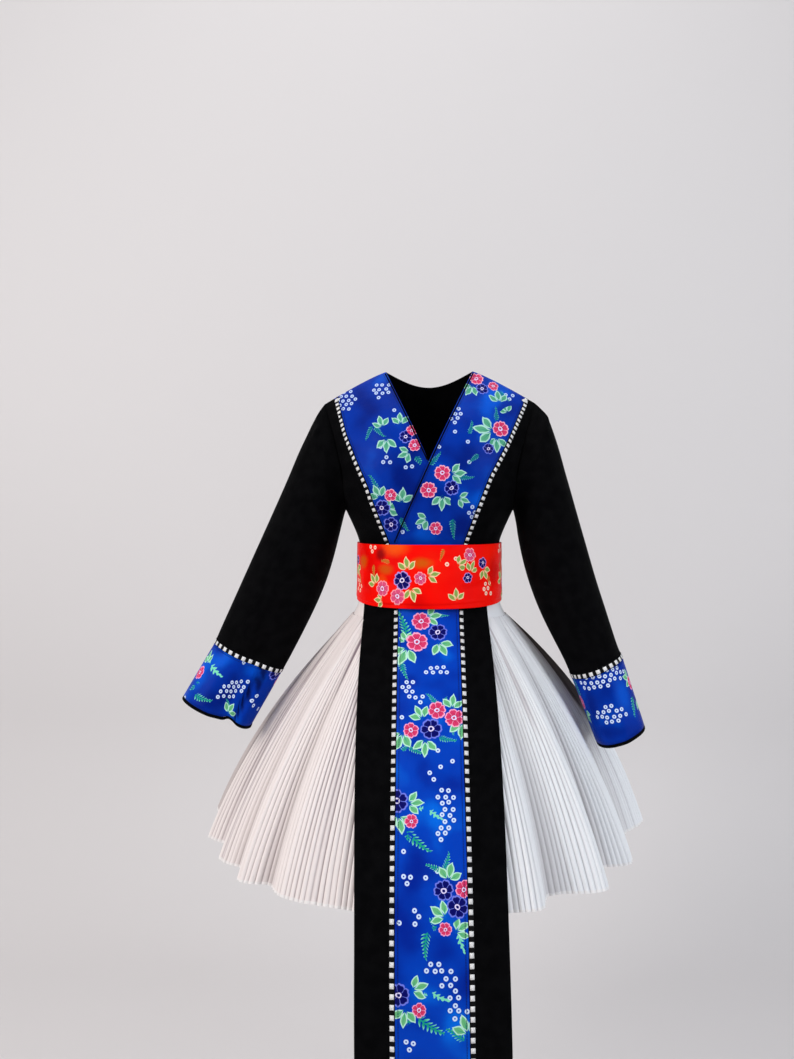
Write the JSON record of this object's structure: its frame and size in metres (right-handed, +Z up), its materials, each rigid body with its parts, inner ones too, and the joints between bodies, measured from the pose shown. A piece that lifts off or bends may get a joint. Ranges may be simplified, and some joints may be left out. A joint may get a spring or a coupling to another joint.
{
  "type": "hmong dress",
  "caption": "Hollow dress: black wrapped jacket with flowered V front, red sash, white pleated skirt and long black front apron.",
  "frame": {"origin": "on the centre line, level with the middle of the shoulders and under their seams, where the wearer's shoulders carry the dress", "axes": "+Z up, front faces -Y, +X to the viewer's right (the wearer's left)"},
  "size_m": [0.7622, 0.676, 0.928],
  "materials": {
    "black_cloth": "matt black plain weave",
    "blue_satin": "blue satin with printed flowers, soft sheen",
    "red_satin": "red satin with printed flowers, soft sheen",
    "white_pleats": "fine pleated white cloth, soft sheen",
    "check_ribbon": "woven ribbon, white squares on black"
  },
  "bodies": {
    "root": {"jacket_back": "black_cloth", "jacket_front_left": "black_cloth", "jacket_front_right": "black_cloth", "front_band_left": "blue_satin", "front_band_right": "blue_satin", "front_ribbon_left": "check_ribbon", "front_ribbon_right": "check_ribbon", "sleeve_left": "black_cloth", "sleeve_right": "black_cloth", "cuff_left": "blue_satin", "cuff_right": "blue_satin", "cuff_ribbon_left": "check_ribbon", "cuff_ribbon_right": "check_ribbon", "cuff_binding_left": "black_cloth", "cuff_binding_right": "black_cloth", "sash": "red_satin", "skirt_waistband": "white_pleats", "skirt_front_left": "white_pleats", "skirt_front_right": "white_pleats", "skirt_back_left": "white_pleats", "skirt_back_right": "white_pleats", "apron_panel": "black_cloth", "apron_strip": "blue_satin", "apron_ribbon_left": "check_ribbon", "apron_ribbon_right": "check_ribbon"}
  },
  "joints": []
}
